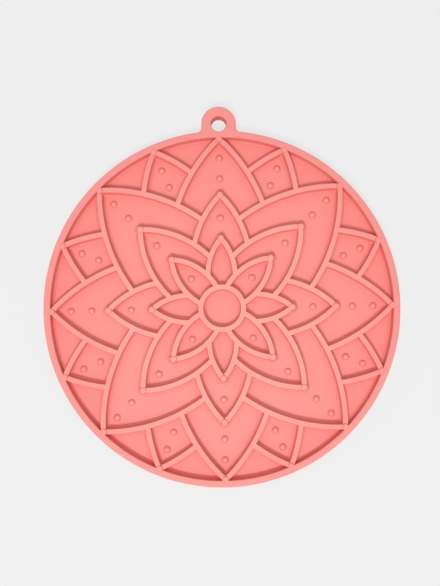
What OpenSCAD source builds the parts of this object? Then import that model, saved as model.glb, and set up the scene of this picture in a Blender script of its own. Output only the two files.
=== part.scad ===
// Round lick mat with a raised flower pattern and a hanging tab.
// The mat lies on its flat back at z = 0, with its centre on the z axis and the tab towards +Y.
// It is one rubber moulding: each node is one of its features, and neighbours meet face to face.
// The petals lie in four rings of eight, from the centre out: inner, middle, outer and edge.
// A petal's outline is two arcs that cross at its tip, drawn by ribs that stand on the floor.
// A petal further out, or upright beside a diagonal one, passes behind those in front of it.

/* [Mat] */
// Diameter across the rim
mat_d = 203; // [196:1:215]
// Thickness of the floor under the food cells
floor_t = 3; // [2:0.25:5]
// Height of the ribs and the rim above the floor
rib_h = 4; // [2.5:0.25:5]
// Draft of the moulded walls, in degrees from upright
draft = 5; // [2:0.5:8]
// Radius of the eased top edges
edge_ease = 0.5; // [0.2:0.05:0.7]

/* [Rim] */
// Width of the rim along its top
rim_w = 3.8; // [2.5:0.1:5]

/* [Ribs] */
// Width of a petal's rib along its top
rib_w = 2.7; // [2:0.1:3.2]
// Diameter of the centre ring, along the middle of its rib
ring_d = 24; // [20:0.5:28]
// Width of the centre ring's rib along its top
ring_w = 3.2; // [2:0.1:4]

/* [Inner petals] */
// Distance from the mat's centre to the tips
inner_tip_r = 40; // [37:0.5:43]
// Radius of the two arcs of a petal
inner_arc_r = 31.9; // [29:0.1:35]
// Half of the tip's angle, between its two arcs, in degrees
inner_tip_angle = 40.8; // [38:0.1:43]

/* [Middle petals] */
// Distance from the mat's centre to the tips
middle_tip_r = 64.8; // [61:0.1:68]
// Radius of the two arcs of a petal
middle_arc_r = 55; // [51:0.5:59]
// Half of the tip's angle, between its two arcs, in degrees
middle_tip_angle = 45.2; // [43:0.1:47]

/* [Outer petals] */
// Distance from the rim's inner edge back to the tips
outer_tip_in = 0.6; // [0.2:0.1:3]
// Radius of the two arcs of a petal
outer_arc_r = 93.1; // [88:0.1:98]
// Half of the tip's angle, between its two arcs, in degrees
outer_tip_angle = 46.9; // [45:0.1:49]

/* [Edge petals] */
// Distance from the rim's inner edge back to the tips
edge_tip_in = 0.1; // [0.1:0.1:3]
// Radius of the two arcs of a petal
edge_arc_r = 94; // [88:0.5:100]
// Half of the tip's angle, between its two arcs, in degrees
edge_tip_angle = 44.6; // [42:0.1:47]

/* [Tip beads] */
// Diameter of the round bead that ends each petal's tip
bead_d = 4; // [3.6:0.1:5]
// Rise of a bead's dome above the ribs
bead_rise = 0.25; // [0.1:0.05:0.5]

/* [Studs] */
// Diameter of a stud where it meets the floor
stud_d = 4.2; // [3:0.1:5]
// Height of a stud above the floor
stud_h = 1.3; // [0.8:0.1:1.8]
// Place of the inner studs, as a share of the way from the centre ring to the tip
inner_stud_share = 0.45; // [0.36:0.01:0.56]
// Place of the middle studs, as a share of the way from the inner tip to the middle tip
middle_stud_share = 0.49; // [0.3:0.005:0.6]
// Place of an outer petal's lower stud, as a share of the way from the middle tip to the outer tip
outer_lower_share = 0.31; // [0.2:0.01:0.4]
// Place of an outer petal's upper stud, as a share of the same way
outer_upper_share = 0.675; // [0.5:0.005:0.7]
// Place of an edge petal's lower stud, as a share of the way from the outer ribs' crossing to the tip
edge_lower_share = 0.36; // [0.28:0.005:0.45]
// Place of an edge petal's upper stud, as a share of the same way
edge_upper_share = 0.67; // [0.55:0.01:0.7]

/* [Hanging tab] */
// Width of the tab, and diameter of its round end
tab_w = 19.7; // [16:0.1:24]
// Distance of the hole's centre outside the mat's edge
hole_out = 4; // [3:0.25:8]
// Diameter of the hole
hole_d = 8.7; // [6:0.1:10]
// Radius of the hollow fillets between the tab and the rim
tab_fillet = 3; // [1:0.5:6]

/* [Hidden] */
$fn = 180;
// How far a cutting shape runs past what it cuts
overrun = 0.2;
// Straight steps in an eased edge, in a fillet and in the tab's round end
ease_steps = 3;
fillet_steps = 6;
round_steps = 24;
rubber_pink = "#F99B94";

petals_per_ring = 8;
pitch = 360 / petals_per_ring;
north = 0;
north_east = pitch;
east = 2 * pitch;
south_east = 3 * pitch;
south = 4 * pitch;
south_west = 5 * pitch;
west = 6 * pitch;
north_west = 7 * pitch;
half_way = pitch / 2;

mat_r = mat_d / 2;
rim_in_r = mat_r - rim_w;
well_foot_r = rim_in_r - rib_h * tan(draft);
mat_t = floor_t + rib_h;
bead_r = bead_d / 2;
bead_ball_r = (bead_r * bead_r + bead_rise * bead_rise) / (2 * bead_rise);
stud_r = stud_d / 2;
stud_ball_r = (stud_r * stud_r + stud_h * stud_h) / (2 * stud_h);
tab_r = tab_w / 2;
hole_y = mat_r + hole_out;

// The four rings of petals, from the centre out: distance of the tips, radius of the arcs, angle at the
// tip, and the root radius, to which an arm runs in behind the petals in front
root_share = 0.6;
outer_tip_r = rim_in_r - outer_tip_in;
edge_tip_r = rim_in_r - edge_tip_in;
inner = [inner_tip_r, inner_arc_r, inner_tip_angle, ring_d / 2];
middle = [middle_tip_r, middle_arc_r, middle_tip_angle, root_share * inner_tip_r];
outer = [outer_tip_r, outer_arc_r, outer_tip_angle, root_share * middle_tip_r];
edge = [edge_tip_r, edge_arc_r, edge_tip_angle, root_share * outer_tip_r];

function tip_r(ring) = ring[0];
function arc_r(ring) = ring[1];
function tip_angle(ring) = ring[2];
function root_r(ring) = ring[3];

// Centre of the right-hand arc of a petal whose axis is +Y
function arc_centre(ring) = [
    -arc_r(ring) * cos(tip_angle(ring)),
    tip_r(ring) - arc_r(ring) * sin(tip_angle(ring))
];

// Angle on that arc at which it comes in to the root radius, by the law of cosines
function root_angle(ring) =
    let (c = arc_centre(ring), reach = norm(c), arc = arc_r(ring), root = root_r(ring))
    atan2(c[1], c[0]) - acos((root * root - reach * reach - arc * arc) / (2 * arc * reach));

// Distance from the mat's centre at which the ribs of neighbouring petals cross half way between them
function crossing_r(ring) =
    let (c = arc_centre(ring), along = c * [sin(half_way), cos(half_way)])
    along + sqrt(along * along - c * c + arc_r(ring) * arc_r(ring));

function between(from, to, share) = from + share * (to - from);

function is_diagonal(turn) = turn % (2 * pitch) != 0;

function reversed(points) = [for (i = [len(points) - 1 : -1 : 0]) points[i]];

// Points of an eased top edge, from the side wall up to the top.
// x is the sharp edge's place, out is 1 or -1 for the side that it faces, lean is the wall's draft.
function eased_edge(x, top, out, lean) =
    let (arc_x = x + out * edge_ease * (tan(lean) - 1 / cos(lean)))
    [for (i = [0 : ease_steps])
        let (a = lean + (90 - lean) * i / ease_steps)
        [arc_x + out * edge_ease * cos(a), top - edge_ease * (1 - sin(a))]
    ];

// Points along an arc about a centre, from one angle to another
function arc_points(centre, r, from, to, steps) = [
    for (i = [0 : steps])
        let (a = from + (to - from) * i / steps)
        centre + r * [cos(a), sin(a)]
];

// Cross-section of a rib: drafted sides, a flat top and eased top edges
module rib_section(width) {
    foot = width / 2 + rib_h * tan(draft);
    polygon(concat(
        [[foot, 0]],
        eased_edge(width / 2, rib_h, 1, draft),
        reversed(eased_edge(-width / 2, rib_h, -1, draft)),
        [[-foot, 0]]
    ));
}

// Plug of the ribs' height that passes through top_r at their top.
// It widens towards the floor where spread is 1, and narrows where it is -1.
module drafted_plug(top_r, spread) {
    translate([0, 0, floor_t - overrun])
        cylinder(
            h = rib_h + 2 * overrun,
            r1 = top_r + spread * (rib_h + overrun) * tan(draft),
            r2 = top_r - spread * overrun * tan(draft)
        );
}

// Everything within the outer sides of a petal's two ribs
module petal_block(ring) {
    c = arc_centre(ring);
    intersection() {
        translate([c[0], c[1], 0]) drafted_plug(arc_r(ring) + rib_w / 2, 1);
        translate([-c[0], c[1], 0]) drafted_plug(arc_r(ring) + rib_w / 2, 1);
    }
}

// Right-hand rib of a petal whose axis is +Y, from its hidden root to its tip
module petal_arm(ring) {
    c = arc_centre(ring);
    from = root_angle(ring);
    translate([c[0], c[1], floor_t])
        rotate(from)
            rotate_extrude(angle = tip_angle(ring) - from)
                translate([arc_r(ring), 0]) rib_section(rib_w);
}

// Both ribs of a petal, less what lies behind the petals in front, pitch_in_front to each side
module petal(ring, turn, in_front, pitch_in_front) {
    color(rubber_pink) rotate(-turn)
        difference() {
            intersection() {
                union() {
                    petal_arm(ring);
                    mirror([1, 0, 0]) petal_arm(ring);
                }
                drafted_plug(rim_in_r, -1);
            }
            if (in_front != undef)
                for (side = [-1, 1]) rotate(side * pitch_in_front) petal_block(in_front);
            drafted_plug(ring_d / 2 + ring_w / 2, 1);
            translate([0, tip_r(ring), floor_t - overrun]) cylinder(h = rib_h + 2 * overrun, r = bead_r);
        }
}

module inner_petal(turn) {
    petal(inner, turn, is_diagonal(turn) ? undef : inner, pitch);
}

module middle_petal(turn) {
    petal(middle, turn, is_diagonal(turn) ? inner : middle, pitch);
}

module outer_petal(turn) {
    petal(outer, turn, is_diagonal(turn) ? middle : outer, pitch);
}

module edge_petal(turn) {
    petal(edge, turn, outer, half_way);
}

// Copies of a shape round the mat, one petal apart or every second one
module around(first, step) {
    for (turn = [first : step : first + 360 - step]) rotate(-turn) children();
}

// Beads at the tips of a ring: posts that stand on the floor between the ribs' ends, with low domes
module tip_beads(ring, first) {
    color(rubber_pink) around(first, pitch)
        translate([0, tip_r(ring), floor_t])
            intersection() {
                cylinder(h = rib_h + bead_rise + overrun, r = bead_r);
                translate([0, 0, rib_h + bead_rise - bead_ball_r]) sphere(r = bead_ball_r);
            }
}

// Studs: low domes on the floor of the cells, which spread the food and rub the tongue
module studs(r, first, step) {
    color(rubber_pink) around(first, step)
        translate([0, r, floor_t])
            intersection() {
                cylinder(h = stud_h + overrun, r = stud_ball_r + overrun);
                translate([0, 0, stud_h - stud_ball_r]) sphere(r = stud_ball_r);
            }
}

// Flat floor of the mat, inside the rim
module base_sheet() {
    color(rubber_pink) cylinder(h = floor_t, r = well_foot_r);
}

// Rim as it is turned: full thickness, an upright outer wall and a drafted inner wall
module rim_body() {
    rotate_extrude()
        polygon(concat(
            [[mat_r, 0]],
            eased_edge(mat_r, mat_t, 1, 0),
            reversed(eased_edge(rim_in_r, mat_t, -1, draft)),
            [[well_foot_r, floor_t], [well_foot_r, 0]]
        ));
}

// What the hanging hole takes out of the tab, and of the rim's wall beside it
module hanging_hole() {
    translate([0, hole_y, -overrun]) cylinder(h = mat_t + 2 * overrun, d = hole_d);
}

// Rim with places for the outer beads
module outer_rim() {
    color(rubber_pink)
        difference() {
            rim_body();
            hanging_hole();
            around(north, pitch)
                translate([0, outer_tip_r, floor_t]) cylinder(h = rib_h + overrun, r = bead_r);
            around(half_way, pitch)
                translate([0, edge_tip_r, floor_t]) cylinder(h = rib_h + overrun, r = bead_r);
        }
}

// Tab of full thickness with a round end and a hole for a hook, which fits over the rim's outer edge.
// Each fillet's arc runs on a little inside the rim before the rim cuts it.
module hanging_tab() {
    fillet_x = tab_r + tab_fillet;
    fillet_reach = mat_r - overrun + tab_fillet;
    fillet_y = sqrt(fillet_reach * fillet_reach - fillet_x * fillet_x);
    fillet_from = atan2(-fillet_y, -fillet_x);
    right = arc_points([fillet_x, fillet_y], tab_fillet, fillet_from, -180, fillet_steps);
    top = arc_points([0, hole_y], tab_r, 0, 180, round_steps);
    left = [for (p = reversed(right)) [-p[0], p[1]]];
    root_y = mat_r - rim_w / 2;
    color(rubber_pink)
        difference() {
            linear_extrude(height = mat_t)
                polygon(concat([[right[0][0], root_y]], right, top, left, [[left[len(left) - 1][0], root_y]]));
            rim_body();
            hanging_hole();
        }
}

// Ring at the mat's centre, where the inner petals start
module centre_ring() {
    color(rubber_pink)
        translate([0, 0, floor_t]) rotate_extrude() translate([ring_d / 2, 0]) rib_section(ring_w);
}

module inner_studs() {
    studs(between(ring_d / 2, inner_tip_r, inner_stud_share), north_east, 2 * pitch);
}

module middle_studs() {
    studs(between(inner_tip_r, middle_tip_r, middle_stud_share), north, pitch);
}

module outer_upper_studs() {
    studs(between(middle_tip_r, outer_tip_r, outer_upper_share), north, pitch);
}

module outer_lower_studs() {
    studs(between(middle_tip_r, outer_tip_r, outer_lower_share), north, pitch);
}

module edge_upper_studs() {
    studs(between(crossing_r(outer), edge_tip_r, edge_upper_share), half_way, pitch);
}

module edge_lower_studs() {
    studs(between(crossing_r(outer), edge_tip_r, edge_lower_share), half_way, pitch);
}

base_sheet();
outer_rim();
hanging_tab();
centre_ring();
inner_petal(north);  // inner_petal_n
inner_petal(north_east);  // inner_petal_ne
inner_petal(east);  // inner_petal_e
inner_petal(south_east);  // inner_petal_se
inner_petal(south);  // inner_petal_s
inner_petal(south_west);  // inner_petal_sw
inner_petal(west);  // inner_petal_w
inner_petal(north_west);  // inner_petal_nw
middle_petal(north);  // middle_petal_n
middle_petal(north_east);  // middle_petal_ne
middle_petal(east);  // middle_petal_e
middle_petal(south_east);  // middle_petal_se
middle_petal(south);  // middle_petal_s
middle_petal(south_west);  // middle_petal_sw
middle_petal(west);  // middle_petal_w
middle_petal(north_west);  // middle_petal_nw
outer_petal(north);  // outer_petal_n
outer_petal(north_east);  // outer_petal_ne
outer_petal(east);  // outer_petal_e
outer_petal(south_east);  // outer_petal_se
outer_petal(south);  // outer_petal_s
outer_petal(south_west);  // outer_petal_sw
outer_petal(west);  // outer_petal_w
outer_petal(north_west);  // outer_petal_nw
edge_petal(north + half_way);  // edge_petal_nne
edge_petal(north_east + half_way);  // edge_petal_ene
edge_petal(east + half_way);  // edge_petal_ese
edge_petal(south_east + half_way);  // edge_petal_sse
edge_petal(south + half_way);  // edge_petal_ssw
edge_petal(south_west + half_way);  // edge_petal_wsw
edge_petal(west + half_way);  // edge_petal_wnw
edge_petal(north_west + half_way);  // edge_petal_nnw
tip_beads(inner, north);  // inner_tip_beads
tip_beads(middle, north);  // middle_tip_beads
tip_beads(outer, north);  // outer_tip_beads
tip_beads(edge, half_way);  // edge_tip_beads
inner_studs();
middle_studs();
outer_upper_studs();
outer_lower_studs();
edge_upper_studs();
edge_lower_studs();
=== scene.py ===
import math

import bpy
import numpy as np
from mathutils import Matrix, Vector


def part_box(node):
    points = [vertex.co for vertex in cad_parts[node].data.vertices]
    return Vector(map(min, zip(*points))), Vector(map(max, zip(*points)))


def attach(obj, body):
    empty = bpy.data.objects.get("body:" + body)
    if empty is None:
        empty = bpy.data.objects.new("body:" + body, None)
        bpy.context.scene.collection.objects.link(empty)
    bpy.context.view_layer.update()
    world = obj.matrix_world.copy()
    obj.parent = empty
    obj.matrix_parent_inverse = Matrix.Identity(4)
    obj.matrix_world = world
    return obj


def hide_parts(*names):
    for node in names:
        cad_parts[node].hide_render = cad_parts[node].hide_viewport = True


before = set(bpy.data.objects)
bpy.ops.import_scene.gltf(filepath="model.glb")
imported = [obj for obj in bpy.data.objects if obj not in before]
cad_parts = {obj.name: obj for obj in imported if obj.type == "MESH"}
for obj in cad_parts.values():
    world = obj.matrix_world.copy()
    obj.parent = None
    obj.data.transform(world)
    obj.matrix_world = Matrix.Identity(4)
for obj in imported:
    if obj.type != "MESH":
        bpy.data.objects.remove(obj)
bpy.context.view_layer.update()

# Floor of the mat.
# The real mat is one piece of soft rubber, pressed in a mould with the pattern cut into it.
# This is its flat sheet inside the rim, 3 mm thick, which carries the ribs and the studs.

MM = 0.001


def linear(hex_colour):
    """Linear red, green, blue and alpha of an sRGB colour written as six hex digits."""
    shares = [int(hex_colour[i:i + 2], 16) / 255 for i in (0, 2, 4)]
    return [s / 12.92 if s <= 0.04045 else ((s + 0.055) / 1.055) ** 2.4 for s in shares] + [1.0]


def add_node(tree, kind, settings=None, links=None):
    """Adds a shader node. settings gives its attributes and socket values, and links what feeds it."""
    node = tree.nodes.new(kind)
    for name, value in (settings or {}).items():
        if isinstance(name, str) and hasattr(node, name):
            setattr(node, name, value)
        else:
            node.inputs[name].default_value = value
    for name, source in (links or {}).items():
        tree.links.new(source, node.inputs[name])
    return node


def moulded_rubber(shaded_floor_pinks, lit_top_pinks, painted_wall_shade_pinks):
    """Silicone rubber from a spark-eroded steel mould: matt, dense, one colour right through.
    The eye sees a soft pink, clouded a little by the pigment between two tones. Each tone is a pair, for
    the middle of the mat and for its edge, and goes over from one to the other. The high tones, of the
    ribs' tops and the studs, are paler by painted light, and the low ones, of the floor, deeper by painted
    shade, for the floor gets less light from the side. It has a faint grain from the mould, and painted
    shade on steep faces, which take a deeper pink."""
    cloud_size, cloud_detail, cloud_roughness = 24 * MM, 2.0, 0.5
    # The real grain is near 0.1 mm, which is too fine to show, so it is drawn coarser.
    grain_size, grain_detail, grain_roughness = 0.9 * MM, 3.0, 0.6
    grain_depth, grain_strength = 0.03 * MM, 0.35
    middle_tone_r, edge_tone_r = 56 * MM, 100 * MM
    # Painted light and shade by height: up to the first height the floor's shaded tones, from the second
    # the tops' lit tones.
    floor_shade_z, top_light_z = 3.1 * MM, 3.7 * MM
    # Painted shade on steep faces: in full up to the first normal height, none from the second.
    full_wall_shade_normal_z, no_wall_shade_normal_z = 0.6, 0.995
    smooth_patch, dull_patch = 0.5, 0.66
    rubber_ior, sheen_level = 1.41, 0.35

    material = bpy.data.materials.new("moulded_rubber")
    material.use_nodes = True
    tree = material.node_tree
    tree.nodes.clear()
    place = add_node(tree, "ShaderNodeTexCoord")
    cloud = add_node(tree, "ShaderNodeTexNoise",
                     {"Scale": 1 / cloud_size, "Detail": cloud_detail, "Roughness": cloud_roughness},
                     {"Vector": place.outputs["Object"]})
    grain = add_node(tree, "ShaderNodeTexNoise",
                     {"Scale": 1 / grain_size, "Detail": grain_detail, "Roughness": grain_roughness},
                     {"Vector": place.outputs["Object"]})
    reach = add_node(tree, "ShaderNodeVectorMath", {"operation": "LENGTH"}, {0: place.outputs["Object"]})
    outward = add_node(tree, "ShaderNodeMapRange", {"From Min": middle_tone_r, "From Max": edge_tone_r},
                       {"Value": reach.outputs["Value"]})
    spot = add_node(tree, "ShaderNodeSeparateXYZ", None, {"Vector": place.outputs["Object"]})
    # Painted light: the share of the tops' paler tones grows with height, and the rest is the floor's
    # painted shade.
    painted_top_light = add_node(tree, "ShaderNodeMapRange", {"From Min": floor_shade_z, "From Max": top_light_z},
                      {"Value": spot.outputs["Z"]})

    def spread(middle_pink, edge_pink):
        """One tone, which goes over from the middle of the mat to its edge."""
        return add_node(tree, "ShaderNodeMix",
                        {"data_type": "RGBA", 6: linear(middle_pink), 7: linear(edge_pink)},
                        {"Factor": outward.outputs["Result"]})

    def clouded(pairs):
        """Two such tones, mixed by the clouds of pigment."""
        tones = [spread(*pair).outputs[2] for pair in pairs]
        return add_node(tree, "ShaderNodeMix", {"data_type": "RGBA"},
                        {"Factor": cloud.outputs["Fac"], 6: tones[0], 7: tones[1]})

    # Level faces: painted shade on the floor and painted light on the tops, mixed by height.
    lit_top_shaded_floor_pink = add_node(tree, "ShaderNodeMix", {"data_type": "RGBA"},
                         {"Factor": painted_top_light.outputs["Result"], 6: clouded(shaded_floor_pinks).outputs[2],
                          7: clouded(lit_top_pinks).outputs[2]})
    # Painted shade: steep faces take the deeper wall tones and level faces the tones above, by how level
    # they lie.
    upward = add_node(tree, "ShaderNodeSeparateXYZ", None, {"Vector": place.outputs["Normal"]})
    level = add_node(tree, "ShaderNodeMath", {"operation": "ABSOLUTE"}, {0: upward.outputs["Z"]})
    flat = add_node(tree, "ShaderNodeMapRange", {"From Min": full_wall_shade_normal_z, "From Max": no_wall_shade_normal_z},
                    {"Value": level.outputs[0]})
    colour = add_node(tree, "ShaderNodeMix", {"data_type": "RGBA"},
                      {"Factor": flat.outputs["Result"], 6: spread(*painted_wall_shade_pinks).outputs[2],
                       7: lit_top_shaded_floor_pink.outputs[2]})
    dull = add_node(tree, "ShaderNodeMapRange", {"To Min": smooth_patch, "To Max": dull_patch},
                    {"Value": grain.outputs["Fac"]})
    relief = add_node(tree, "ShaderNodeBump", {"Strength": grain_strength, "Distance": grain_depth},
                      {"Height": grain.outputs["Fac"]})
    rubber = add_node(tree, "ShaderNodeBsdfPrincipled",
                      {"IOR": rubber_ior, "Specular IOR Level": sheen_level},
                      {"Base Color": colour.outputs[2], "Roughness": dull.outputs["Result"],
                       "Normal": relief.outputs["Normal"]})
    add_node(tree, "ShaderNodeOutputMaterial", None, {"Surface": rubber.outputs["BSDF"]})
    return material


# The floor tones carry painted shade, the top tones painted light, and the wall tones painted shade on
# steep faces.
mat_rubber = moulded_rubber(shaded_floor_pinks=[("FA968F", "FB8C86"), ("FD9D96", "FE938D")],
                            lit_top_pinks=[("FBA196", "F8938D"), ("FEA89D", "FB9A94")],
                            painted_wall_shade_pinks=("EB857F", "E47B74"))


def skin(rings, closed_path=False, end_points=None):
    """Vertices and faces of a closed surface laid over rings of points.
    rings[i, j] is point j of ring i. Four-sided faces join each ring to the next, and a ring closes on
    itself. On a closed path the last ring joins the first. On an open one each end is closed by a fan of
    triangles about end_points, or about the middle of the end ring."""
    count, around = rings.shape[:2]
    spans = count if closed_path else count - 1
    i, j = np.meshgrid(np.arange(spans), np.arange(around), indexing="ij")
    next_i, next_j = (i + 1) % count, (j + 1) % around
    corners = [i * around + j, i * around + next_j, next_i * around + next_j, next_i * around + j]
    quads = np.stack(corners, -1).reshape(-1, 4).tolist()
    points = rings.reshape(-1, 3)
    if closed_path:
        return points, quads
    middles = rings[[0, -1]].mean(1) if end_points is None else np.array(end_points)
    first = np.arange(around)
    following = (first + 1) % around
    last = (count - 1) * around
    first_fan = np.stack([np.full(around, len(points)), following, first], -1)
    last_fan = np.stack([np.full(around, len(points) + 1), last + first, last + following], -1)
    return np.concatenate([points, middles]), quads + first_fan.tolist() + last_fan.tolist()


def turned(points, angle):
    """Points turned about the mat's axis, clockwise from above, by an angle in degrees."""
    c, s = math.cos(math.radians(angle)), math.sin(math.radians(angle))
    return points @ np.array([[c, -s, 0], [s, c, 0], [0, 0, 1]])


level_share = 0.999999  # a face counts as level where its normal rises by at least this much


def piece(node, shells):
    """Mesh object made of closed shells in millimetres, which stands for a CAD node.
    A shell whose volume comes out negative, by the sum of its faces' cones from the origin, is turned
    inside out, so all its faces point outwards. Level faces are shaded flat and the rest smooth."""
    all_points, all_faces, start = [], [], 0
    for points, faces in shells:
        corners = np.array([[f[0], f[1], f[2]] for f in faces]
                           + [[f[0], f[2], f[3]] for f in faces if len(f) > 3])
        a, b, c = (points[corners[:, n]] for n in range(3))
        if np.einsum("ij,ij->i", a, np.cross(b, c)).sum() < 0:
            faces = [f[::-1] for f in faces]
        all_points.append(points)
        all_faces += [[start + v for v in f] for f in faces]
        start += len(points)
    mesh = bpy.data.meshes.new(node)
    mesh.from_pydata(np.concatenate(all_points) * MM, [], all_faces)
    upward = np.empty(3 * len(mesh.polygons), np.float32)
    mesh.polygons.foreach_get("normal", upward)
    mesh.polygons.foreach_set("use_smooth", np.abs(upward[2::3]) < level_share)
    mesh.materials.append(mat_rubber)
    made = bpy.data.objects.new("rubber_" + node, mesh)
    bpy.context.scene.collection.objects.link(made)
    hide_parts(node)
    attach(made, "root")


def revolved(profile, steps):
    """Rings of a profile turned about the mat's axis: profile[i] = (radius, height), one ring each."""
    a = np.linspace(0, 2 * math.pi, steps, endpoint=False)
    r, z = profile[:, :1], profile[:, 1:]
    return np.stack([r * np.cos(a), r * np.sin(a), z + 0 * a], -1)


def arc(x, z, r, start, end, steps=5):
    """Points on a circle about (x, z), from one angle in degrees to another."""
    a = np.radians(np.linspace(start, end, steps))
    return np.stack([x + r * np.cos(a), z + r * np.sin(a)], -1)


floor_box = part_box("base_sheet")
floor_r = floor_box[1].x / MM
floor_t = floor_box[1].z / MM
floor_rows = 40
first_row = 0.02
turn_steps = 480
row_r = floor_r * np.linspace(first_row, 1, floor_rows)
top_face = np.stack([row_r, np.full(floor_rows, floor_t)], -1)
back_face = np.stack([row_r[::-1], np.zeros(floor_rows)], -1)
piece("base_sheet", [skin(revolved(np.concatenate([top_face, back_face]), turn_steps),
                          end_points=[(0, 0, floor_t), (0, 0, 0)])])

# Rim.
# The mat's edge is a band of full thickness with an upright outer wall.
# Its inner wall leans back so that the mould lets go, and runs into the floor in a hollow fillet.

draft = 5.0
ease_r = 0.5
root_r = 1.5
sole_r = 0.3
sole_steps = 4
seat = 0.01  # how far a fillet's lowest point lies under the floor's face
hold = 1.3  # a rounding has a point beside it on the flat, about so many radii from the corner
sole_hold = 1.5
rim_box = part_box("outer_rim")
mat_r = rim_box[1].x / MM
mat_t = rim_box[1].z / MM
rib_h = mat_t - floor_t
lean = math.tan(math.radians(draft))
skew = 1 / math.cos(math.radians(draft))
rim_in_r = floor_r + rib_h * lean
wall_foot = rim_in_r - (rib_h - root_r) * lean - root_r * skew
inner_ease_x = rim_in_r + ease_r * (skew - lean)
rim_section = np.concatenate([
    [[floor_r, 0], [floor_r, floor_t - root_r], [wall_foot, floor_t - root_r]],
    arc(wall_foot, floor_t + root_r - seat, root_r, 270, 360 - draft),
    arc(inner_ease_x, mat_t - ease_r, ease_r, 180 - draft, 90),
    [[inner_ease_x + (hold - 1) * ease_r, mat_t], [mat_r - hold * ease_r, mat_t]],
    arc(mat_r - ease_r, mat_t - ease_r, ease_r, 90, 0),
    [[mat_r, mat_t - hold * ease_r], [mat_r, hold * sole_r]],
    arc(mat_r - sole_r, sole_r, sole_r, 0, -90, sole_steps),
    [[mat_r - sole_hold * sole_r, 0]],
])
outer_wall_from = mat_r - 1  # past this radius the rim's section is outer wall
behind_tab = 0.9
tab_from, tab_to = 5.2, 6.6


def rim_rings():
    """One ring for each step of a turn. Behind the tab the outer wall is set back by behind_tab, so that
    it doesn't show in the tab's hole: in full up to tab_from degrees off the tab's axis, then less, to
    none at tab_to."""
    rings = revolved(rim_section, turn_steps).transpose(1, 0, 2)
    off_axis = np.degrees(np.abs(np.arctan2(rings[:, :, 0], rings[:, :, 1])))
    share = np.clip((tab_to - off_axis) / (tab_to - tab_from), 0, 1)
    back = behind_tab * share * (rim_section[:, 0] > outer_wall_from)
    return rings * np.stack([1 - back / mat_r, 1 - back / mat_r, 1 + 0 * back], -1)


piece("outer_rim", [skin(rim_rings(), closed_path=True)])

# Hanging tab.
# A tab of the rim's thickness with a round end and a hole for a hook, moulded in one with the rim.
# Hollow fillets lead its sides into the rim. Its top runs on over the rim's outer edge.

tab_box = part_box("hanging_tab")
hole_r = 4.35
tab_fillet = 3.0
tab_r = 9.85
hole_y = tab_box[1].y / MM - tab_r
lift = 0.01  # keeps the tab's top and bottom out of the rim's planes
tab_t = mat_t + lift
tab_root_r = mat_r - 2.2
path_in = 0.1  # the outline follows the rim this far inside its edge
run_on = 2.0
sharp = 0.02  # how round the edges are inside the rim, as a share
run_steps, fillet_steps, end_steps, root_steps = 4, 9, 49, 24
side_points = 2


def tab_outline():
    """Outline of the tab, anticlockwise from the rim on its right. It gives points, outward normals, how
    round the edges are there, as a share, and the place on the hole's wall, in radians, that each point
    is joined to.
    The round end is an arc about the hole. A fillet's centre lies outside the side and the rim by the
    fillet's radius. Past the fillets the outline runs on inside the rim's edge for run_on degrees, and
    goes back as a sharp-edged arc inside the rim. The places on the hole are chosen so that no two
    joining lines cross."""
    fillet_x = tab_r + tab_fillet
    rim_path_r = mat_r - path_in
    rim_turn, fillet_turn = -72, -52  # degrees round the hole
    fillet_y = math.sqrt((rim_path_r + tab_fillet) ** 2 - fillet_x ** 2)
    touch = math.degrees(math.atan2(fillet_y, fillet_x))
    on_rim = arc(0, 0, rim_path_r, touch - run_on, touch, run_steps)[:-1]
    fillet = arc(fillet_x, fillet_y, tab_fillet, touch - 180, -180, fillet_steps)
    side_y = np.linspace(fillet_y, hole_y, side_points + 2)[1:-1]
    side = np.stack([np.full(side_points, tab_r), side_y], -1)
    end = arc(0, hole_y, tab_r, 0, 180, end_steps)
    root = arc(0, 0, tab_root_r, 180 + run_on - touch, touch - run_on, root_steps)
    right = np.concatenate([on_rim, fillet, side])
    right_normals = np.concatenate([on_rim / rim_path_r, ([fillet_x, fillet_y] - fillet) / tab_fillet,
                                    np.tile([1, 0], (side_points, 1))])
    right_turn = np.interp(np.arange(len(right)), [0, len(on_rim), len(right)],
                           [rim_turn, fillet_turn, 0])
    points = np.concatenate([right, end, right[::-1] * [-1, 1], root])
    normals = np.concatenate([right_normals, (end - [0, hole_y]) / tab_r, right_normals[::-1] * [-1, 1],
                              -root / tab_root_r])
    roundness = np.concatenate([np.ones(len(points) - len(root)), np.full(len(root), sharp)])
    turn = np.concatenate([right_turn, np.linspace(0, 180, len(end)), 180 - right_turn[::-1],
                           np.linspace(180 - rim_turn, 360 + rim_turn, len(root) + 2)[1:-1]])
    return points, normals, roundness[:, None], np.radians(turn)


def tab_rings():
    """One ring for each point of the outline: a section of the tab from the hole's wall to that point.
    Its edge profiles are offsets and heights, on the hole's radius and on the outline's normal."""
    points, normals, roundness, turn = tab_outline()
    rays = np.stack([np.cos(turn), np.sin(turn)], -1)
    ease = arc(-ease_r, -ease_r, ease_r, 90, 0)
    sole = arc(-sole_r, sole_r, sole_r, 0, -90, sole_steps)
    outer_off = np.concatenate([ease, sole])[:, 0] * roundness
    outer_z = np.concatenate([tab_t + ease[:, 1] * roundness, lift + sole[:, 1] * roundness], 1)
    bore_off = -np.concatenate([sole[::-1], ease[::-1]])[:, 0]
    bore_z = np.concatenate([lift + sole[::-1, 1], tab_t + ease[::-1, 1]])
    bore = [0, hole_y] + (hole_r + bore_off)[:, None] * rays[:, None]
    outer = points[:, None] + outer_off[:, :, None] * normals[:, None]
    z = np.concatenate([np.broadcast_to(bore_z, bore.shape[:2]), outer_z], 1)
    return np.concatenate([np.concatenate([bore, outer], 1), z[:, :, None]], -1)


piece("hanging_tab", [skin(tab_rings(), closed_path=True)])

# Centre ring.
# A rib that runs in a circle round the bare disc in the middle, where the first petals start.
# All ribs stand on the floor with a root fillet, lean a little and have eased top edges.

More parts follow.
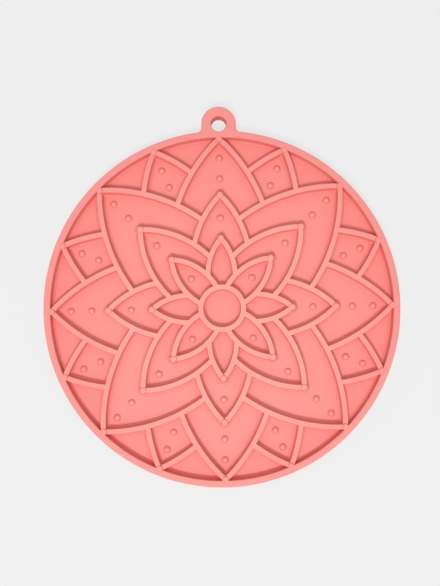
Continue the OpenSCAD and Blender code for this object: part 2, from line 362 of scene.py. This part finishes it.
rib_ease_r = 0.2


def rib_section(width, height):
    """Closed outline of a rib, as offset from its middle line and height above the floor.
    From the right-hand root fillet up the leaning side, over the eased edges and the flat top, and down
    the other side. It closes under the floor."""
    side_x = width / 2 + (height - root_r) * lean + root_r * skew
    top_x = width / 2 - rib_ease_r * (skew - lean)
    root = arc(side_x, root_r - seat, root_r, 270, 180 + draft)
    edge = arc(top_x, height - rib_ease_r, rib_ease_r, draft, 90)
    top = [[top_x - (hold - 1) * rib_ease_r, height]]
    right = np.concatenate([[[side_x, -root_r]], root, edge, top])
    return np.concatenate([right, right[::-1] * [-1, 1]])


def swept(path, normals, section):
    """Rings of a section carried along a path on the floor: path[i] + offset * normals[i], at the
    section's height above the floor."""
    flat = path[:, None] + section[None, :, :1] * normals[:, None]
    height = np.broadcast_to(floor_t + section[:, 1:], flat.shape[:2] + (1,))
    return np.concatenate([flat, height], -1)


ring_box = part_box("centre_ring")
ring_w = 2.9
ring_r = ring_box[1].x / MM - ring_w / 2 - rib_h * lean
ring_steps = 180
ring_turn = np.linspace(0, 2 * math.pi, ring_steps, endpoint=False)
spokes = np.stack([np.cos(ring_turn), np.sin(ring_turn)], -1)
piece("centre_ring", [skin(swept(ring_r * spokes, spokes, rib_section(ring_w, rib_h)), closed_path=True)])

# Petals.
# Each petal is two curved ribs that meet at its tip. The petals lie in four rings of eight, 45 degrees
# apart, and one that lies behind another ends at the rib in front of it. In the three inner rings the
# diagonal petals lie in front of the upright ones. The edge petals lie behind the outer ones.

rib_w = 2.85
rib_step = 0.9
pitch = 45.0
step_down = 0.02  # from one layer of petals to the next, so that no two tops lie in one plane
bead_r = 2.0
tip_dip = 0.6
tip_clear = 1.05
under_bead = 0.7


def tip_radius(beads):
    """Distance of a ring's tips from the mat's centre: the reach of its beads, less a bead's radius.
    The edge petals have no bead on an axis, so their beads' own mesh is measured."""
    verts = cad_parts[beads].data.vertices
    co = np.empty(3 * len(verts), np.float32)
    verts.foreach_get("co", co)
    return np.hypot(*co.reshape(-1, 3)[:, :2].T).max() / MM - bead_r


class PetalSide:
    """Right-hand arc of a petal whose axis is +Y: its tip's distance, its radius and its angle at the tip,
    which is half the angle between the two sides there."""

    def __init__(self, tip, r, angle):
        self.tip, self.r, self.angle = tip, r, angle
        a = math.radians(angle)
        self.x, self.y = -r * math.cos(a), tip - r * math.sin(a)

    def centre_beside(self, turn):
        """Centre of the left-hand arc of a petal that is turned clockwise by so many degrees."""
        return turned(np.array([-self.x, self.y, 0]), turn)[:2]

    def meets(self, centre, r):
        """Angle at which this arc first meets a circle, coming from the tip, by the law of cosines."""
        to = np.array(centre) - [self.x, self.y]
        d = np.hypot(*to)
        spread = math.degrees(math.acos((self.r ** 2 + d ** 2 - r ** 2) / (2 * self.r * d)))
        towards = math.degrees(math.atan2(to[1], to[0]))
        crossings = [(towards + s * spread + 180) % 360 - 180 for s in (-1, 1)]
        return max(c for c in crossings if c < self.angle)


def petal_rings(curve, end_angle, height):
    """Rings of a petal's rib: up the right-hand arc, round the tip in a mitre, and down the left-hand arc.
    At the tip the section is stretched by 1 / sin of the tip's half angle and dips by tip_dip at its top,
    so that the tip's bead stands clear, and its foot stays under the bead's. The next ring stands
    back far enough that the two sides don't cross."""
    section = rib_section(rib_w, height)
    clear = tip_clear * section[:, 0].max() / math.tan(math.radians(curve.angle))
    near_tip = curve.angle - math.degrees(clear / curve.r)
    steps = int(curve.r * math.radians(near_tip - end_angle) / rib_step)
    a = np.radians(np.linspace(end_angle, near_tip, steps))
    out = np.stack([np.cos(a), np.sin(a)], -1)
    right = np.array([curve.x, curve.y]) + curve.r * out
    path = np.concatenate([right, [[0, curve.tip]], right[::-1] * [-1, 1]])
    mitre = [[0, 1 / math.sin(math.radians(curve.angle))]]
    normals = np.concatenate([out, mitre, out[::-1] * [-1, 1]])
    rings = swept(path, normals, section)
    tip_ring = rings[len(right)]
    tip_ring[:, 2] -= tip_dip * np.clip(section[:, 1] / height, 0, 1)
    tip_ring[:, 1] = np.minimum(tip_ring[:, 1], curve.tip + bead_r + under_bead * root_r)
    return rings


inner = PetalSide(tip_radius("inner_tip_beads"), r=31.9, angle=40.8)
middle = PetalSide(tip_radius("middle_tip_beads"), r=55.0, angle=45.2)
outer = PetalSide(tip_radius("outer_tip_beads"), r=93.1, angle=46.9)
edge = PetalSide(tip_radius("edge_tip_beads"), r=94.0, angle=44.6)
diagonals = {"ne": 45, "se": 135, "sw": 225, "nw": 315}
uprights = {"n": 0, "e": 90, "s": 180, "w": 270}
between = {"nne": 22.5, "ene": 67.5, "ese": 112.5, "sse": 157.5,
           "ssw": 202.5, "wsw": 247.5, "wnw": 292.5, "nnw": 337.5}
layers = [
    ("inner_petal_", inner, diagonals, inner.meets((0, 0), ring_r)),
    ("inner_petal_", inner, uprights, inner.meets(inner.centre_beside(pitch), inner.r)),
    ("middle_petal_", middle, diagonals, middle.meets(inner.centre_beside(pitch), inner.r)),
    ("middle_petal_", middle, uprights, middle.meets(middle.centre_beside(pitch), middle.r)),
    ("outer_petal_", outer, diagonals, outer.meets(middle.centre_beside(pitch), middle.r)),
    ("outer_petal_", outer, uprights, outer.meets(outer.centre_beside(pitch), outer.r)),
    ("edge_petal_", edge, between, edge.meets(outer.centre_beside(pitch / 2), outer.r)),
]
for depth, (name, curve, places, end_angle) in enumerate(layers, 1):
    points, faces = skin(petal_rings(curve, end_angle, rib_h - depth * step_down))
    for place, turn in places.items():
        piece(name + place, [(turned(points, turn), faces)])

# Tip beads.
# A round post stands in each petal's tip, where the mould was drilled, and ends in a low dome.
# It stands a little above the ribs, so its outline shows on them and on the rim.

bead_rise = 0.25
bead_round = 0.8
cap_rise = 0.1
bead_top = rib_h + bead_rise
shoulder_from = 80
shoulder_steps = 7


def dome(r, rise, steps=6):
    """Points down a spherical cap of base radius r, from near its top to its edge."""
    ball = (r ** 2 + rise ** 2) / (2 * rise)
    x = r * np.linspace(0, 1, steps + 1)[1:]
    return np.stack([x, np.sqrt(ball ** 2 - x ** 2) - (ball - rise)], -1)


def standing(profile, top, place_r, turns, steps=32):
    """Shells of a turned profile that stands on the floor at a distance from the centre, at each turn."""
    points, faces = skin(revolved(profile, steps), end_points=[(0, 0, top), (0, 0, profile[-1, 1])])
    points = points + [0, place_r, floor_t]
    return [(turned(points, t), faces) for t in turns]


def bead_profile():
    """From the dome over its round shoulder, down the leaning post and out through its root fillet."""
    shoulder_x, shoulder_z = bead_r - bead_round, bead_top - cap_rise - bead_round
    cap = dome(shoulder_x, cap_rise) + [0, shoulder_z + bead_round]
    shoulder = arc(shoulder_x, shoulder_z, bead_round, shoulder_from, draft, shoulder_steps)
    foot_x = bead_r + (rib_h - root_r) * lean + root_r * skew
    root = arc(foot_x, root_r - seat, root_r, 180 + draft, 270)
    return np.concatenate([cap, shoulder, root, [[foot_x, -root_r]]])


all_round = np.arange(0, 360, pitch)
for node, curve, turns in (("inner_tip_beads", inner, all_round), ("middle_tip_beads", middle, all_round),
                           ("outer_tip_beads", outer, all_round),
                           ("edge_tip_beads", edge, all_round + pitch / 2)):
    piece(node, standing(bead_profile(), bead_top, curve.tip, turns))

# Studs.
# Low round domes on the floor of the cells, moulded in one with it.
# They spread the food thinly and rub the tongue.

stud_r = 2.1
stud_root_r = 0.4
stud_steps = 24
stud_cap_steps, stud_root_steps = 9, 4


def stud_profile(height):
    """Down a dome that meets the floor in a small fillet: the fillet's circle touches dome and floor."""
    ball = (stud_r ** 2 + height ** 2) / (2 * height)
    ball_z = height - ball
    gap_z = stud_root_r - ball_z
    root_x = math.sqrt((ball + stud_root_r) ** 2 - gap_z ** 2)
    touch = math.degrees(math.atan2(gap_z, root_x))
    cap = arc(0, ball_z, ball, 90, touch, stud_cap_steps)[1:]
    root = arc(root_x, stud_root_r - seat, stud_root_r, 180 + touch, 270, stud_root_steps)[1:]
    return np.concatenate([cap, root, [[root_x, -stud_root_r]]])


for node, turns in (("inner_studs", all_round[1::2]), ("middle_studs", all_round),
                    ("outer_upper_studs", all_round), ("outer_lower_studs", all_round),
                    ("edge_upper_studs", all_round + pitch / 2),
                    ("edge_lower_studs", all_round + pitch / 2)):
    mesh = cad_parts[node].data
    co = np.empty(3 * len(mesh.vertices), np.float32)
    mesh.vertices.foreach_get("co", co)
    co = co.reshape(-1, 3) / MM
    reach = np.hypot(*co[:, :2].T)
    stud_h = co[:, 2].max() - floor_t
    place_r = (reach.max() + reach.min()) / 2
    piece(node, standing(stud_profile(stud_h), stud_h, place_r, turns, stud_steps))

# Table, light and camera.
# The mat lies on a plain pale table under a soft white sky, with one round lamp at the picture's lower
# side. The camera looks down from 35 cm over a place 14 mm below the mat's centre in the picture, tilted
# by one degree upwards and a little to the right. The lens is shifted to bring the mat to its place.

table_mesh = bpy.data.meshes.new("table")
half_table = 1.5
table_gap = 0.02 * MM
glow_share = 0.82  # as seen by the camera, so that the mat's shadow on the table stays faint
table_mesh.from_pydata([(-half_table, -half_table, 0), (half_table, -half_table, 0),
                        (half_table, half_table, 0), (-half_table, half_table, 0)], [], [(0, 1, 2, 3)])
table = bpy.data.objects.new("table", table_mesh)
bpy.context.scene.collection.objects.link(table)
pale = bpy.data.materials.new("pale_board")
pale.use_nodes = True
pale.node_tree.nodes.clear()
pale_grey = linear("EFEFEF")
board = add_node(pale.node_tree, "ShaderNodeBsdfDiffuse", {"Color": pale_grey})
glow = add_node(pale.node_tree, "ShaderNodeEmission", {"Color": pale_grey})
ray = add_node(pale.node_tree, "ShaderNodeLightPath")
seen = add_node(pale.node_tree, "ShaderNodeMath", {"operation": "MAXIMUM"},
                {0: ray.outputs["Is Camera Ray"], 1: ray.outputs["Is Glossy Ray"]})
seen = add_node(pale.node_tree, "ShaderNodeMath", {"operation": "MAXIMUM"},
                {0: seen.outputs[0], 1: ray.outputs["Is Transmission Ray"]})
share = add_node(pale.node_tree, "ShaderNodeMath", {"operation": "MULTIPLY", 1: glow_share},
                 {0: seen.outputs[0]})
mixed = add_node(pale.node_tree, "ShaderNodeMixShader", None,
                 {"Fac": share.outputs[0], 1: board.outputs[0], 2: glow.outputs[0]})
add_node(pale.node_tree, "ShaderNodeOutputMaterial", None, {"Surface": mixed.outputs[0]})
table_mesh.materials.append(pale)
table.location.z = -table_gap

world = bpy.data.worlds.new("soft_room")
world.use_nodes = True
bpy.context.scene.world = world
sky_level = 0.64
world.node_tree.nodes["Background"].inputs["Color"].default_value = linear("FFFFFF")
world.node_tree.nodes["Background"].inputs["Strength"].default_value = sky_level


def soft_lamp(name, azimuth, elevation, distance, size, level):
    """Round lamp that looks at the mat's centre from an azimuth, clockwise from +Y, and an elevation.
    level is what it adds to the light on the table, where 1 shows white as white: a disc of radius r at a
    distance d gives energy / (pi * (d ** 2 + r ** 2)) on a face turned to it."""
    lamp = bpy.data.lights.new(name, "AREA")
    lamp.shape = "DISK"
    lamp.size = size
    az, el = math.radians(azimuth), math.radians(elevation)
    lamp.energy = level * math.pi ** 2 * (distance ** 2 + size ** 2 / 4) / math.sin(el)
    made = bpy.data.objects.new(name, lamp)
    made.location = [distance * math.cos(el) * math.sin(az), distance * math.cos(el) * math.cos(az),
                     distance * math.sin(el)]
    made.rotation_euler = (math.pi / 2 - el, 0, math.pi - az)
    bpy.context.scene.collection.objects.link(made)


soft_lamp("side_softbox", azimuth=193, elevation=57, distance=1.15, size=0.32, level=0.41)

image_w, image_h = 440, 586
mat_px_r = 178.7
mat_px_x, mat_px_y = 221.95, 309.15
mat_turn = 1.15  # degrees, anticlockwise in the picture
camera_h = 350.0
camera_low = 14.0
tilt_up, tilt_right = 1.0, 0.3
sensor = 36.0
px = mat_r / mat_px_r  # millimetres to a pixel
roll = math.radians(-mat_turn)
up = np.array([-math.sin(roll), math.cos(roll)])
aim_x, aim_y = (image_w / 2 - mat_px_x) * px, (mat_px_y - image_h / 2) * px
stand = -camera_low * up
camera_data = bpy.data.cameras.new("camera")
camera_data.sensor_width = sensor
camera_data.lens = sensor / image_h * camera_h / px
slope_up, slope_right = math.tan(math.radians(tilt_up)), math.tan(math.radians(tilt_right))
# A tilt by a slope moves what is x away from the middle by slope * (camera_h + x ** 2 / camera_h). The
# lens shift takes off again what it moves at the rim.
bend = camera_h + mat_r ** 2 / camera_h
camera_data.shift_x = (aim_x - bend * slope_right) / (px * image_h)
camera_data.shift_y = (aim_y + camera_low - bend * slope_up) / (px * image_h)
camera_data.clip_start, camera_data.clip_end = 0.01, 10
camera = bpy.data.objects.new("camera", camera_data)
camera.location = (stand[0] * MM, stand[1] * MM, (mat_t + camera_h) * MM)
camera.rotation_euler = (math.radians(tilt_up), -math.radians(tilt_right), roll)
bpy.context.scene.collection.objects.link(camera)
bpy.context.scene.camera = camera
bpy.context.scene.view_settings.view_transform = "Standard"
